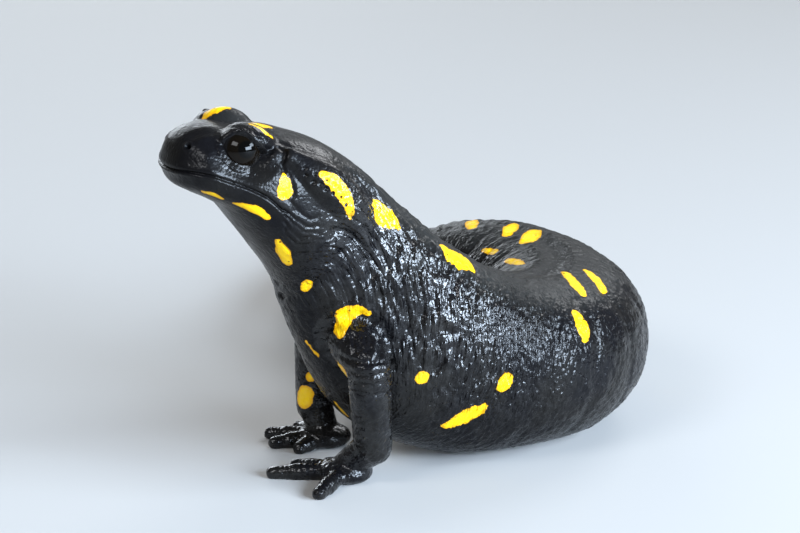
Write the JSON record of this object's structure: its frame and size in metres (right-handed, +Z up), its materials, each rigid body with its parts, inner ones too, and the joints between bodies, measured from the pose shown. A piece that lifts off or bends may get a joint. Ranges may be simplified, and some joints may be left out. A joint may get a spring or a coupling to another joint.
{
  "type": "fire salamander",
  "caption": "Life-size fire salamander, glossy black with yellow spots, head raised on straight forelegs, body curled behind it and tail trailing.",
  "frame": {"origin": "middle of the belly's flat, on the floor, 62 mm along the spine behind the snout", "axes": "+Z up. The head looks along -X and a little along -Y. The body curls round to the animal's right, and the tail trails off along +Y."},
  "size_m": [0.0617, 0.1338, 0.0463],
  "materials": {
    "skin": "wet glossy black amphibian skin with warm yellow spots",
    "eye": "wet black eyeball"
  },
  "bodies": {
    "root": {"head": "skin", "lower_jaw": "skin", "parotoid_left": "skin", "parotoid_right": "skin", "neck": "skin", "trunk_front": "skin", "trunk_middle": "skin", "trunk_rear": "skin", "tail_base": "skin", "tail_middle": "skin", "tail_tip": "skin", "upper_arm_left": "skin", "forearm_left": "skin", "hand_left": "skin", "upper_arm_right": "skin", "forearm_right": "skin", "hand_right": "skin", "thigh_left": "skin", "shank_left": "skin", "foot_left": "skin", "thigh_right": "skin", "shank_right": "skin", "foot_right": "skin", "eye_left": "eye", "eye_right": "eye"}
  },
  "joints": []
}
